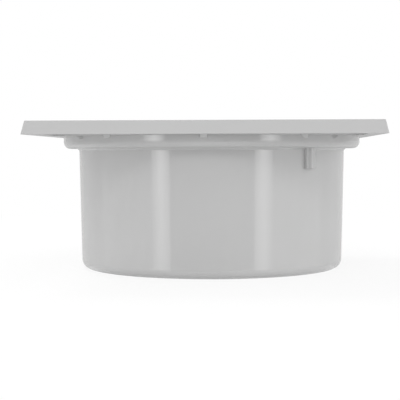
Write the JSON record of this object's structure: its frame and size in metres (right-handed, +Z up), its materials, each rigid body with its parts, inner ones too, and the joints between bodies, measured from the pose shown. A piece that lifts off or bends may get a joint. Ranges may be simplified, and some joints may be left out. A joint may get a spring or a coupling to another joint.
{
  "type": "floor drain",
  "caption": "Moulded plastic floor drain: square bevelled flange over a round well, slotted round grate held by screws, lift-out trap bell and bottom outlet socket.",
  "frame": {"origin": "centre of the flat base of the well, on the drain's axis", "axes": "+Z up along the drain's axis, X and Y along the sides of the square flange, -Y the front in the picture"},
  "size_m": [0.2, 0.2, 0.0894],
  "materials": {
    "grey_plastic": "glossy moulded",
    "grate_plastic": "glossy moulded",
    "bell_plastic": "satin moulded",
    "screw_steel": "bright"
  },
  "bodies": {
    "root": {"drain_body": "grey_plastic", "grate": "grate_plastic", "grate_screws": "screw_steel", "trap_bell": "bell_plastic"}
  },
  "joints": []
}
